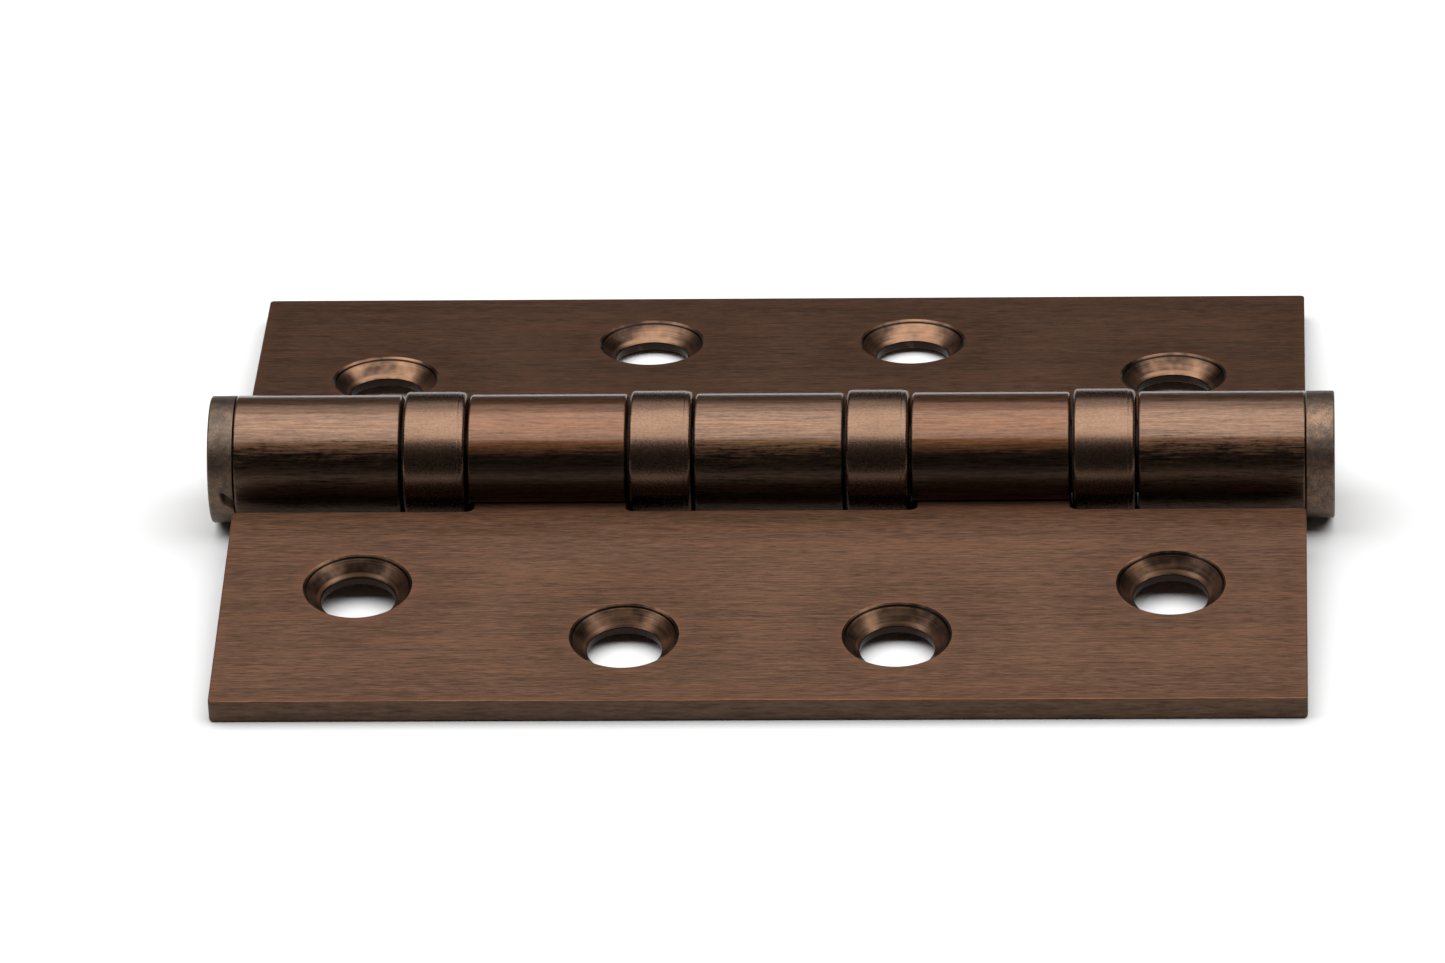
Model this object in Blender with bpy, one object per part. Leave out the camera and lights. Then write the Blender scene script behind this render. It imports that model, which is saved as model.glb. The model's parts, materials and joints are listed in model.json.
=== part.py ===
"""Ball-bearing butt hinge, a 4 by 3 inch pair of flat leaves on one pin, with four bearings.

It lies open on a flat surface, as it would on a bench: the bearing sleeves touch the surface
below the pin, and each leaf droops until the back of its outer edge touches too.

Frame: X runs along the pin, Y across the leaves, and +Z is up. The origin is on the surface,
below the middle of the pin. The frame leaf, with three knuckles, is on +Y. The door leaf, with
two knuckles, is on -Y.
"""

import math

import bmesh
import bpy
from mathutils import Matrix, Vector

MM = 0.001

# Driving dimensions of the leaves.
LEAF_LENGTH = 101.6 * MM
LEAF_WIDTH = 38.1 * MM  # from the pin's axis to the outer edge
LEAF_THICKNESS = 2.4 * MM
CLOSED_GAP = 1.6 * MM  # between the countersunk faces when the hinge is shut
BACK_EDGE_BREAK = 0.35 * MM
OFFSET_BEND_INSIDE_RADIUS = 1.2 * MM
OFFSET_BEND_ANGLE = math.radians(45)
SEAM_GAP = 0.15 * MM  # between a knuckle's rolled end and the face of its leaf

# Pin, caps and knuckles.
PIN_RADIUS = 3.55 * MM
PIN_CLEARANCE = 0.1 * MM
END_KNUCKLE = 15.85 * MM
DOOR_KNUCKLE = 15.0 * MM
CAP_THICKNESS = 2.5 * MM
CAP_GAP = 0.2 * MM
CAP_EDGE_BREAK = 0.25 * MM
CAP_SPIGOT = 5.0 * MM
PIN_END_GAP = 0.4 * MM
PIN_CHAMFER = 0.5 * MM
PRY_NOTCH_WIDTH = 1.0 * MM
PRY_NOTCH_HEIGHT = 0.75 * MM
PRY_NOTCH_DEPTH = 0.6 * MM

# Room that each leaf leaves for the other's knuckles.
NOTCH_CLEARANCE = 1.4 * MM  # beyond the bearing sleeve
NOTCH_CORNER_RADIUS = 0.7 * MM
NECK_RELIEF = 0.3 * MM  # how much narrower a leaf's neck is than its knuckle, on each side

# Countersunk screw holes, four to a leaf, staggered on two rows.
HOLE_PITCH = 25.4 * MM
HOLE_RADIUS = 3.5 * MM
COUNTERSINK_RADIUS = 5.13 * MM
OUTER_ROW_FROM_EDGE = 10.3 * MM
INNER_ROW_FROM_EDGE = 18.4 * MM

# Thrust ball bearings between the knuckles.
SLEEVE_PROUD = 0.27 * MM  # how far a sleeve stands out from the knuckles
SLEEVE_LENGTH = 5.95 * MM
SLEEVE_WALL = 0.5 * MM
SLEEVE_NOSE_RADIUS = 0.75 * MM
SLEEVE_RIM_RADIUS = 0.3 * MM
CLOSED_SIDE_GAP = 0.2 * MM
OPEN_SIDE_GAP = 0.3 * MM
RACE_PROUD = 0.1 * MM  # how far the running race stands out of the sleeve's open end
RACE_SIDE_CLEARANCE = 0.14 * MM
RACE_BORE_CLEARANCE = 0.2 * MM
RACE_SEAT_GAP = 0.2 * MM
RACE_SPACING = 1.1 * MM
BALL_RADIUS = 0.8 * MM
BALLS_PER_BEARING = 8
GROOVE_CLEARANCE = 0.05 * MM
POCKET_CLEARANCE = 0.1 * MM
CAGE_THICKNESS = 0.7 * MM
CAGE_RIM = 0.25 * MM

# Smoothness of round shapes, in steps to a full turn.
KNUCKLE_STEPS = 40
SLEEVE_STEPS = 36
RACE_STEPS = 24
HOLE_STEPS = 24
POCKET_STEPS = 12
GROOVE_STEPS = 3
BEND_STEPS = 4
CORNER_STEPS = 3

# Sizes that follow from the ones above.
BORE_RADIUS = PIN_RADIUS + PIN_CLEARANCE
KNUCKLE_RADIUS = BORE_RADIUS + LEAF_THICKNESS
SLEEVE_RADIUS = KNUCKLE_RADIUS + SLEEVE_PROUD
FACE_DROP = CLOSED_GAP / 2  # the countersunk face lies this far behind the pin's axis
BACK_DROP = FACE_DROP + LEAF_THICKNESS
NOTCH_DEPTH = SLEEVE_RADIUS + NOTCH_CLEARANCE
BEARING_SPACE = CLOSED_SIDE_GAP + SLEEVE_LENGTH + OPEN_SIDE_GAP
MIDDLE_KNUCKLE = LEAF_LENGTH - 2 * END_KNUCKLE - 2 * DOOR_KNUCKLE - 4 * BEARING_SPACE
RACE_INNER_RADIUS = PIN_RADIUS + RACE_BORE_CLEARANCE
RACE_OUTER_RADIUS = SLEEVE_RADIUS - SLEEVE_WALL - RACE_SIDE_CLEARANCE
POCKET_RADIUS = BALL_RADIUS + POCKET_CLEARANCE
BALL_CIRCLE_RADIUS = RACE_INNER_RADIUS + CAGE_RIM + POCKET_RADIUS
RACE_THICKNESS = (SLEEVE_LENGTH - SLEEVE_WALL - RACE_SEAT_GAP + RACE_PROUD - RACE_SPACING) / 2
DROOP = math.asin(
    SLEEVE_RADIUS / math.hypot(LEAF_WIDTH - BACK_EDGE_BREAK, BACK_DROP)
) - math.atan2(BACK_DROP, LEAF_WIDTH - BACK_EDGE_BREAK)

# The finishes: colour, metallic value and roughness.
FINISHES = {
    "brushed_bronze_leaf": ((0.130, 0.078, 0.052), 1.0, 0.42),
    "satin_bronze_sleeve": ((0.235, 0.150, 0.100), 1.0, 0.35),
    "cast_bronze_cap": ((0.160, 0.110, 0.080), 1.0, 0.55),
    "ground_steel_pin": ((0.560, 0.560, 0.560), 1.0, 0.25),
    "hardened_steel_race": ((0.420, 0.420, 0.430), 1.0, 0.25),
    "brass_cage": ((0.560, 0.400, 0.160), 1.0, 0.40),
    "polished_steel_ball": ((0.700, 0.700, 0.720), 1.0, 0.10),
}


def clear_scene():
    for obj in list(bpy.data.objects):
        bpy.data.objects.remove(obj)


def finish(name):
    """The material of that name, made on first use."""
    if name in bpy.data.materials:
        return bpy.data.materials[name]
    material = bpy.data.materials.new(name)
    material.use_nodes = True
    shader = material.node_tree.nodes["Principled BSDF"]
    colour, metallic, roughness = FINISHES[name]
    shader.inputs["Base Color"].default_value = (*colour, 1.0)
    shader.inputs["Metallic"].default_value = metallic
    shader.inputs["Roughness"].default_value = roughness
    return material


def empty(name, location=(0, 0, 0), turn=0.0, about="X", parent=None):
    """A frame for the pieces that hang on it."""
    frame = bpy.data.objects.new(name, None)
    bpy.context.scene.collection.objects.link(frame)
    frame.parent = parent
    frame.matrix_basis = Matrix.Translation(location) @ Matrix.Rotation(turn, 4, about)
    return frame


def piece(name, mesh, parent, material=None, location=(0, 0, 0)):
    """An object that shows the mesh in its parent's frame. Without a material it is a cutter."""
    obj = bpy.data.objects.new(name, mesh)
    bpy.context.scene.collection.objects.link(obj)
    obj.parent = parent
    obj.location = location
    if material is None:
        obj.hide_render = True
        obj.display_type = "WIRE"
    elif not mesh.materials:
        mesh.materials.append(finish(material))
    return obj


def closed_mesh(name, bm, smooth=True):
    """Turns the shape in bm into a mesh whose faces point out."""
    bmesh.ops.remove_doubles(bm, verts=bm.verts, dist=1e-7)
    bmesh.ops.recalc_face_normals(bm, faces=bm.faces)
    mesh = bpy.data.meshes.new(name)
    bm.to_mesh(mesh)
    bm.free()
    if smooth:
        mesh.shade_smooth()
        mesh.set_sharp_from_angle(angle=math.radians(30))
    return mesh


def turned(bm, profile, steps, axis=Vector((1, 0, 0)), centre=Vector((0, 0, 0))):
    """Turns a closed profile about the axis. Its points are (along the axis, radius)."""
    out = Vector((0, 0, 1)) if axis.x else Vector((1, 0, 0))
    verts = [bm.verts.new(centre + axis * along + out * radius) for along, radius in profile]
    edges = [bm.edges.new((a, b)) for a, b in zip(verts, verts[1:] + verts[:1])]
    made = bmesh.ops.spin(
        bm,
        geom=verts + edges,
        axis=axis,
        cent=centre,
        angle=2 * math.pi,
        steps=steps,
        use_merge=True,
    )
    return made


def turned_mesh(name, profile, steps):
    bm = bmesh.new()
    turned(bm, profile, steps)
    return closed_mesh(name, bm)


def extruded(bm, outline, push):
    """Extrudes a flat closed outline, a list of points, by the vector push."""
    face = bm.faces.new([bm.verts.new(point) for point in outline])
    side = bmesh.ops.extrude_face_region(bm, geom=[face])
    moved = [part for part in side["geom"] if isinstance(part, bmesh.types.BMVert)]
    bmesh.ops.translate(bm, verts=moved, vec=push)


def arc(centre, radius, start, end, steps):
    """Points (across, height) on an arc. Angles run from straight down towards +across."""
    angles = [start + (end - start) * i / steps for i in range(steps + 1)]
    return [
        (centre[0] + radius * math.sin(a), centre[1] - radius * math.cos(a)) for a in angles
    ]


def cut(obj, cutter):
    """Subtracts the cutter from the object."""
    modifier = obj.modifiers.new(cutter.name, "BOOLEAN")
    modifier.operation = "DIFFERENCE"
    modifier.solver = "EXACT"
    modifier.object = cutter


def knuckle_spans():
    """The five knuckles as (start, end) along X, from -X to +X."""
    lengths = [END_KNUCKLE, DOOR_KNUCKLE, MIDDLE_KNUCKLE, DOOR_KNUCKLE, END_KNUCKLE]
    spans = []
    start = -LEAF_LENGTH / 2
    for length in lengths:
        spans.append((start, start + length))
        start += length + BEARING_SPACE
    return spans


def leaf_outline():
    """The strip that a leaf is bent from, seen along the pin: (away from the pin, height).

    From the outer edge it runs in along the back, dips through the offset bend, rolls round the
    bore by most of a turn and comes back along the inside to the countersunk face.
    """
    bend = OFFSET_BEND_ANGLE
    middle_radius = BORE_RADIUS + LEAF_THICKNESS / 2
    bend_radius = OFFSET_BEND_INSIDE_RADIUS + LEAF_THICKNESS / 2
    rise = middle_radius * math.cos(bend) - FACE_DROP - LEAF_THICKNESS / 2
    straight = (rise - bend_radius * (1 - math.cos(bend))) / math.sin(bend)
    reach = (middle_radius + bend_radius) * math.sin(bend) + straight * math.cos(bend)
    bend_centre = (reach, -FACE_DROP - LEAF_THICKNESS / 2 - bend_radius)
    rolled_end = math.acos((FACE_DROP - SEAM_GAP) / KNUCKLE_RADIUS) - 2 * math.pi
    return [
        (LEAF_WIDTH, -FACE_DROP),
        (LEAF_WIDTH, -BACK_DROP + BACK_EDGE_BREAK),
        (LEAF_WIDTH - BACK_EDGE_BREAK, -BACK_DROP),
        *arc(bend_centre, OFFSET_BEND_INSIDE_RADIUS, math.pi, math.pi + bend, BEND_STEPS),
        *arc((0, 0), KNUCKLE_RADIUS, bend, rolled_end, KNUCKLE_STEPS),
        *arc((0, 0), BORE_RADIUS, rolled_end, bend, KNUCKLE_STEPS),
        *arc(bend_centre, bend_radius + LEAF_THICKNESS / 2, math.pi + bend, math.pi, BEND_STEPS),
    ]


def knuckle_gap_cutters(name, gaps, parent):
    """Clears the rolled part of the strip between a leaf's knuckles."""
    bm = bmesh.new()
    reach = KNUCKLE_RADIUS + NOTCH_CLEARANCE / 2
    for start, end in gaps:
        outline = [(start, -reach), (end, -reach), (end, reach), (start, reach)]
        extruded(bm, [(x, y, -2 * reach) for x, y in outline], Vector((0, 0, 4 * reach)))
    return piece(name, closed_mesh(name, bm, smooth=False), parent)


def notch_cutters(name, gaps, parent):
    """Notches the flat part of a leaf where the other leaf's knuckles and the bearings turn."""
    bm = bmesh.new()
    radius = NOTCH_CORNER_RADIUS
    near = BORE_RADIUS + LEAF_THICKNESS / 2
    bottom = -2 * KNUCKLE_RADIUS
    top = -FACE_DROP + SEAM_GAP / 3
    for start, end in gaps:
        low, high = start - NECK_RELIEF, end + NECK_RELIEF
        corner = NOTCH_DEPTH - radius
        outline = [
            (low, near),
            (high, near),
            *arc((high - radius, corner), radius, math.pi / 2, math.pi, CORNER_STEPS),
            *arc((low + radius, corner), radius, math.pi, 1.5 * math.pi, CORNER_STEPS),
        ]
        extruded(bm, [(x, y, bottom) for x, y in outline], Vector((0, 0, top - bottom)))
    return piece(name, closed_mesh(name, bm, smooth=False), parent)


def hole_places():
    """The four screw holes of a leaf as (along the pin, away from the pin)."""
    near_row = LEAF_WIDTH - INNER_ROW_FROM_EDGE
    far_row = LEAF_WIDTH - OUTER_ROW_FROM_EDGE
    return [
        (-1.5 * HOLE_PITCH, near_row),
        (-0.5 * HOLE_PITCH, far_row),
        (0.5 * HOLE_PITCH, far_row),
        (1.5 * HOLE_PITCH, near_row),
    ]


def screw_hole_cutters(name, parent):
    """Countersinks the four holes at 90 degrees, from the face down to a straight bore."""
    past = LEAF_THICKNESS / 2
    profile = [
        (past, 0),
        (past, COUNTERSINK_RADIUS),
        (-FACE_DROP, COUNTERSINK_RADIUS),
        (-FACE_DROP - (COUNTERSINK_RADIUS - HOLE_RADIUS), HOLE_RADIUS),
        (-BACK_DROP - past, HOLE_RADIUS),
        (-BACK_DROP - past, 0),
    ]
    bm = bmesh.new()
    for along, away in hole_places():
        turned(bm, profile, HOLE_STEPS, Vector((0, 0, 1)), Vector((along, away, 0)))
    return piece(name, closed_mesh(name, bm, smooth=False), parent)


def leaf(name, frame, gaps):
    """One leaf with its rolled knuckles, lying towards the frame's +Y."""
    bm = bmesh.new()
    half = LEAF_LENGTH / 2
    extruded(bm, [(-half, across, up) for across, up in leaf_outline()], Vector((2 * half, 0, 0)))
    mesh = closed_mesh(name, bm)
    for polygon in mesh.polygons:
        polygon.use_smooth = math.hypot(polygon.center.y, polygon.center.z) < NOTCH_DEPTH
    obj = piece(name, mesh, frame, "brushed_bronze_leaf")
    cut(obj, knuckle_gap_cutters(name + "_knuckle_gaps", gaps, frame))
    cut(obj, notch_cutters(name + "_notches", gaps, frame))
    cut(obj, screw_hole_cutters(name + "_screw_holes", frame))
    return obj


def leaves(pin_axis):
    """Both leaves, each on an empty that droops it until its outer edge rests on the surface."""
    first, second, third, fourth, fifth = knuckle_spans()
    past = LEAF_LENGTH
    frame_side = empty("frame_leaf_hinge_line", turn=-DROOP, parent=pin_axis)
    leaf("frame_leaf", frame_side, [(first[1], third[0]), (third[1], fifth[0])])
    door_side = empty("door_leaf_hinge_line", turn=DROOP, parent=pin_axis)
    facing = empty("door_leaf_facing", turn=math.pi, about="Z", parent=door_side)
    gaps = [(-past, second[0]), (second[1], fourth[0]), (fourth[1], past)]
    leaf("door_leaf", facing, gaps)


def hinge_pin(pin_axis):
    """The plain pin, which ends short of the caps' spigots."""
    half = LEAF_LENGTH / 2 - CAP_SPIGOT - PIN_END_GAP
    profile = [
        (-half, 0),
        (-half, PIN_RADIUS - PIN_CHAMFER),
        (-half + PIN_CHAMFER, PIN_RADIUS),
        (half - PIN_CHAMFER, PIN_RADIUS),
        (half, PIN_RADIUS - PIN_CHAMFER),
        (half, 0),
    ]
    mesh = turned_mesh("hinge_pin", profile, SLEEVE_STEPS)
    piece("hinge_pin", mesh, pin_axis, "ground_steel_pin")


def end_cap(name, pin_axis, side):
    """A flat-tipped cap with a spigot that plugs the end of the barrel."""
    inner = LEAF_LENGTH / 2 + CAP_GAP
    outer = inner + CAP_THICKNESS
    tip = LEAF_LENGTH / 2 - CAP_SPIGOT
    profile = [
        (tip, 0),
        (tip, PIN_RADIUS - PIN_CHAMFER),
        (tip + PIN_CHAMFER, PIN_RADIUS),
        (inner, PIN_RADIUS),
        (inner, KNUCKLE_RADIUS),
        (outer - CAP_EDGE_BREAK, KNUCKLE_RADIUS),
        (outer, KNUCKLE_RADIUS - CAP_EDGE_BREAK),
        (outer, 0),
    ]
    mesh = turned_mesh(name, [(side * along, radius) for along, radius in profile], SLEEVE_STEPS)
    return piece(name, mesh, pin_axis, "cast_bronze_cap")


def pry_notch_cutter(name, pin_axis):
    """A small wedge at the inner edge of the left cap, where a blade can lift it off."""
    inner = -(LEAF_LENGTH / 2 + CAP_GAP)
    past = CAP_GAP / 2
    outline = [
        (inner + past, past),
        (inner - PRY_NOTCH_WIDTH, past),
        (inner + past, -PRY_NOTCH_HEIGHT),
    ]
    bm = bmesh.new()
    front = -KNUCKLE_RADIUS - PRY_NOTCH_DEPTH
    extruded(bm, [(x, front, z) for x, z in outline], Vector((0, 2 * PRY_NOTCH_DEPTH, 0)))
    return piece(name, closed_mesh(name, bm, smooth=False), pin_axis)


def end_caps(pin_axis):
    left = end_cap("end_cap_left", pin_axis, -1)
    cut(left, pry_notch_cutter("end_cap_left_pry_notch", pin_axis))
    end_cap("end_cap_right", pin_axis, 1)


def sleeve_mesh():
    """The bearing's drawn cup, from its open rim at 0 to its rounded nose at the full length."""
    nose_corner = (SLEEVE_LENGTH - SLEEVE_NOSE_RADIUS, SLEEVE_RADIUS - SLEEVE_NOSE_RADIUS)
    nose = [
        (
            nose_corner[0] + SLEEVE_NOSE_RADIUS * math.sin(angle),
            nose_corner[1] + SLEEVE_NOSE_RADIUS * math.cos(angle),
        )
        for angle in (math.pi / 2 * i / CORNER_STEPS for i in range(CORNER_STEPS + 1))
    ]
    inside = SLEEVE_RADIUS - SLEEVE_WALL
    profile = [
        (0, inside),
        (0, SLEEVE_RADIUS - SLEEVE_RIM_RADIUS),
        (SLEEVE_RIM_RADIUS, SLEEVE_RADIUS),
        *nose,
        (SLEEVE_LENGTH, RACE_INNER_RADIUS),
        (SLEEVE_LENGTH - SLEEVE_WALL, RACE_INNER_RADIUS),
        (SLEEVE_LENGTH - SLEEVE_WALL, inside),
    ]
    return turned_mesh("bearing_sleeve", profile, SLEEVE_STEPS)


def race_mesh():
    """A washer with a groove for the balls. Its grooved face is at 0 and its back at +X."""
    groove_radius = BALL_RADIUS + GROOVE_CLEARANCE
    half_angle = math.acos(RACE_SPACING / 2 / groove_radius)
    groove = [
        (
            groove_radius * math.cos(angle) - RACE_SPACING / 2,
            BALL_CIRCLE_RADIUS + groove_radius * math.sin(angle),
        )
        for angle in (half_angle * (2 * i / GROOVE_STEPS - 1) for i in range(GROOVE_STEPS + 1))
    ]
    profile = [
        (RACE_THICKNESS, RACE_INNER_RADIUS),
        (0, RACE_INNER_RADIUS),
        *groove,
        (0, RACE_OUTER_RADIUS),
        (RACE_THICKNESS, RACE_OUTER_RADIUS),
    ]
    return turned_mesh("bearing_race", profile, RACE_STEPS)


def mirrored(mesh, name):
    """A copy of the mesh turned end for end about Z, so that what faced -X faces +X."""
    copy = mesh.copy()
    copy.name = name
    copy.transform(Matrix.Rotation(math.pi, 4, "Z"))
    return copy


def ball_angles():
    return [2 * math.pi * i / BALLS_PER_BEARING for i in range(BALLS_PER_BEARING)]


def ball_centre(angle):
    return Vector((0, math.sin(angle), math.cos(angle))) * BALL_CIRCLE_RADIUS


def cage_mesh(pin_axis):
    """The spider that spaces the balls: a rim round the pin with a finger between each pair."""
    half = CAGE_THICKNESS / 2
    profile = [
        (-half, RACE_INNER_RADIUS),
        (-half, RACE_OUTER_RADIUS),
        (half, RACE_OUTER_RADIUS),
        (half, RACE_INNER_RADIUS),
    ]
    blank = piece("cage_blank", turned_mesh("cage_blank", profile, RACE_STEPS), pin_axis)
    pocket = [(-2 * half, 0), (-2 * half, POCKET_RADIUS), (2 * half, POCKET_RADIUS), (2 * half, 0)]
    bm = bmesh.new()
    for angle in ball_angles():
        turned(bm, pocket, POCKET_STEPS, centre=ball_centre(angle))
    cut(blank, piece("cage_pockets", closed_mesh("cage_pockets", bm, smooth=False), pin_axis))
    graph = bpy.context.evaluated_depsgraph_get()
    mesh = bpy.data.meshes.new_from_object(blank.evaluated_get(graph))
    mesh.name = "bearing_cage"
    return mesh


def ball_mesh():
    bm = bmesh.new()
    bmesh.ops.create_icosphere(bm, subdivisions=2, radius=BALL_RADIUS)
    return closed_mesh("bearing_ball", bm)


def bearings(pin_axis):
    """Four bearings. Each one's open end faces -X and its sleeve's nose faces +X."""
    sleeve = sleeve_mesh()
    seated_race = race_mesh()
    running_race = mirrored(seated_race, "bearing_running_race")
    cage = cage_mesh(pin_axis)
    ball = ball_mesh()
    spans = knuckle_spans()
    for number, (before, after) in enumerate(zip(spans, spans[1:]), start=1):
        prefix = f"bearing_{number}_"
        rim = before[1] + OPEN_SIDE_GAP
        ball_plane = rim - RACE_PROUD + RACE_THICKNESS + RACE_SPACING / 2
        centre = empty(prefix + "ball_plane", (ball_plane, 0, 0), parent=pin_axis)
        piece(prefix + "sleeve", sleeve, pin_axis, "satin_bronze_sleeve", (rim, 0, 0))
        seat = (RACE_SPACING / 2, 0, 0)
        piece(prefix + "seated_race", seated_race, centre, "hardened_steel_race", seat)
        face = (-RACE_SPACING / 2, 0, 0)
        piece(prefix + "running_race", running_race, centre, "hardened_steel_race", face)
        piece(prefix + "cage", cage, centre, "brass_cage")
        for index, angle in enumerate(ball_angles(), start=1):
            name = f"{prefix}ball_{index}"
            piece(name, ball, centre, "polished_steel_ball", ball_centre(angle))


def main():
    clear_scene()
    pin_axis = empty("pin_axis", (0, 0, SLEEVE_RADIUS))
    leaves(pin_axis)
    hinge_pin(pin_axis)
    end_caps(pin_axis)
    bearings(pin_axis)


main()
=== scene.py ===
"""Looks of a ball-bearing butt hinge in antique bronze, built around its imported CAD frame.

Lengths are in metres. X runs along the pin, +Y is the frame leaf's side, and +Z is up.
"""

import json

import bmesh
import bpy
import numpy as np
from mathutils import Matrix, Vector
from mathutils.geometry import delaunay_2d_cdt


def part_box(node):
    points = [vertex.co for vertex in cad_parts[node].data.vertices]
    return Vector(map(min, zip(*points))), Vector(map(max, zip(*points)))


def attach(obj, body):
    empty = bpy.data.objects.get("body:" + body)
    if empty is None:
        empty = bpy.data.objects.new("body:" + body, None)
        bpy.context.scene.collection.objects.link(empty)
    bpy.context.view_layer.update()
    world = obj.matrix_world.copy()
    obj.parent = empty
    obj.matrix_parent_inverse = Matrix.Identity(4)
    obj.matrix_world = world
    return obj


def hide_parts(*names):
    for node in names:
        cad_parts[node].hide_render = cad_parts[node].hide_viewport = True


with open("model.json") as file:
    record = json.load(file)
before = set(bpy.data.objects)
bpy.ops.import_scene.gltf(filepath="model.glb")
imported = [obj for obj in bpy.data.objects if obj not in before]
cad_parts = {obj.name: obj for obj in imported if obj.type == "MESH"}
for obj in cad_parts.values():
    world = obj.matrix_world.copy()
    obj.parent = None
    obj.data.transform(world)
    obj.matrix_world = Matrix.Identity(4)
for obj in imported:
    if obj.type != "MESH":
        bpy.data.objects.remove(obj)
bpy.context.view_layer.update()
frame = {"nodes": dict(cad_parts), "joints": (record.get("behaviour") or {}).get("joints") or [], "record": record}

# ---------------------------------------------------------------------------------------------
# The two leaves. Each is a steel blank, stamped with tabs and countersunk, whose tabs are bent
# down and rolled round the pin as knuckles. It is brushed along the pin and bronze plated, and
# the brush wears the plating red along its edges.

MM = 0.001
PIN_HEIGHT = frame["joints"][0]["pos_m"][2]
DROOP = np.arctan2(*np.abs(frame["record"]["mounts"][0]["axis"])[1:])  # from a leaf's flat back
HALF_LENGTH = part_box("frame_leaf")[1].x
LEAF_WIDTH = 38.1 * MM
LEAF_THICKNESS = 2.4 * MM
FACE_DROP = 0.8 * MM
BORE_RADIUS = 3.65 * MM
KNUCKLE_RADIUS = BORE_RADIUS + LEAF_THICKNESS
MIDLINE_RADIUS = BORE_RADIUS + LEAF_THICKNESS / 2
BEND_RADIUS = 2.4 * MM
BEND_ANGLE = np.radians(45)
SEAM_DIP = 0.36 * MM  # how far the face sinks where the rolled end comes down on it
SEAM_SHARE = 0.95  # of the dip, where the rolled end stops
DIP_EASE = 1.7 * MM  # how far the dip's slope runs on past the side of the barrel
NOTCH_DEPTH = 7.65 * MM  # from the pin's axis to the bottom of a notch between knuckles
PAINT_LINE = 2.7 * MM  # from a notch's bottom to where the knuckle's finish begins
FACE_EDGE = 0.13 * MM
BACK_EDGE = 0.32 * MM
EDGE_STEPS = 5
EDGE_PITCH = 0.35 * MM

COLOUR_A, COLOUR_B, COLOUR_RESULT = 6, 7, 2  # the Mix node's sockets for colours


class Socket:
    """A value in a material's node tree. Arithmetic on it adds Math nodes to the tree."""

    def __init__(self, tree, link=None):
        self.tree = tree
        self.link = link

    def node(self, kind, settings, sockets, output=0):
        """Adds a shader node: first its settings, then the values or links of its sockets."""
        made = self.tree.nodes.new("ShaderNode" + kind)
        for name, value in settings.items():
            setattr(made, name, value)
        for name, value in sockets.items():
            if isinstance(value, Socket):
                self.tree.links.new(value.link, made.inputs[name])
            else:
                made.inputs[name].default_value = value
        return Socket(self.tree, made.outputs[output])

    def math(self, operation, *values):
        return self.node("Math", {"operation": operation}, dict(enumerate(values)))

    def __add__(self, other):
        return self.math("ADD", self, other)

    __radd__ = __add__

    def __sub__(self, other):
        return self.math("SUBTRACT", self, other)

    def __rsub__(self, other):
        return self.math("SUBTRACT", other, self)

    def __mul__(self, other):
        return self.math("MULTIPLY", self, other)

    def __truediv__(self, other):
        return self.math("DIVIDE", self, other)

    def __abs__(self):
        return self.math("ABSOLUTE", self)

    def least(self, other):
        return self.math("MINIMUM", self, other)

    def most(self, other):
        return self.math("MAXIMUM", self, other)

    def root(self):
        return self.math("SQRT", self)

    def clamped(self):
        return self.least(1.0).most(0.0)

    def ramp(self, low, high, start=0.0, end=1.0):
        """Goes smoothly from start to end as the value goes from low to high."""
        limits = {"From Min": low, "From Max": high, "To Min": start, "To Max": end}
        return self.node("MapRange", {"interpolation_type": "SMOOTHSTEP"}, {"Value": self, **limits})

    def parts(self):
        """The X, Y and Z of a vector."""
        return [self.node("SeparateXYZ", {}, {"Vector": self}, axis) for axis in range(3)]

    def stretched(self, *scale):
        """A vector with each axis multiplied by its own number."""
        settings = {"operation": "MULTIPLY"}
        return self.node("VectorMath", settings, {0: self, 1: scale})

    def noise(self, detail=2.0, roughness=0.5, distortion=0.0):
        """Perlin noise at this place, from 0 to 1, with features about 1 unit wide."""
        shape = {"Detail": detail, "Roughness": roughness, "Distortion": distortion}
        return self.node("TexNoise", {}, {"Vector": self, "Scale": 1.0, **shape})

    def mixed(self, first, second):
        """The first colour where this value is 0 and the second where it is 1."""
        sockets = {"Factor": self}
        for socket, colour in ((COLOUR_A, first), (COLOUR_B, second)):
            sockets[socket] = colour if isinstance(colour, Socket) else (*colour, 1.0)
        return self.node("Mix", {"data_type": "RGBA"}, sockets, COLOUR_RESULT)


def plated(name, paint, gloss=0.2):
    """A metal whose look is worked out by paint, under clear lacquer of the given roughness.

    From the place on the piece as a vector, paint gives the colour, roughness and height, as
    sockets, the depth in metres of that height's range, and how much lacquer there is.
    """
    material = bpy.data.materials.new(name)
    material.use_nodes = True
    tree = material.node_tree
    shader = tree.nodes["Principled BSDF"]
    place = Socket(tree).node("TexCoord", {}, {}, "Object")
    colour, roughness, height, depth, lacquer = paint(place)
    relief = {"Height": height, "Distance": depth, "Strength": 1.0}
    normal = place.node("Bump", {}, relief)
    shader.inputs["Metallic"].default_value = 1.0
    shader.inputs["Coat Roughness"].default_value = gloss
    if isinstance(lacquer, Socket):
        tree.links.new(lacquer.link, shader.inputs["Coat Weight"])
    else:
        shader.inputs["Coat Weight"].default_value = lacquer
    tree.links.new(colour.link, shader.inputs["Base Color"])
    tree.links.new(roughness.link, shader.inputs["Roughness"])
    tree.links.new(normal.link, shader.inputs["Normal"])
    return material


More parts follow.
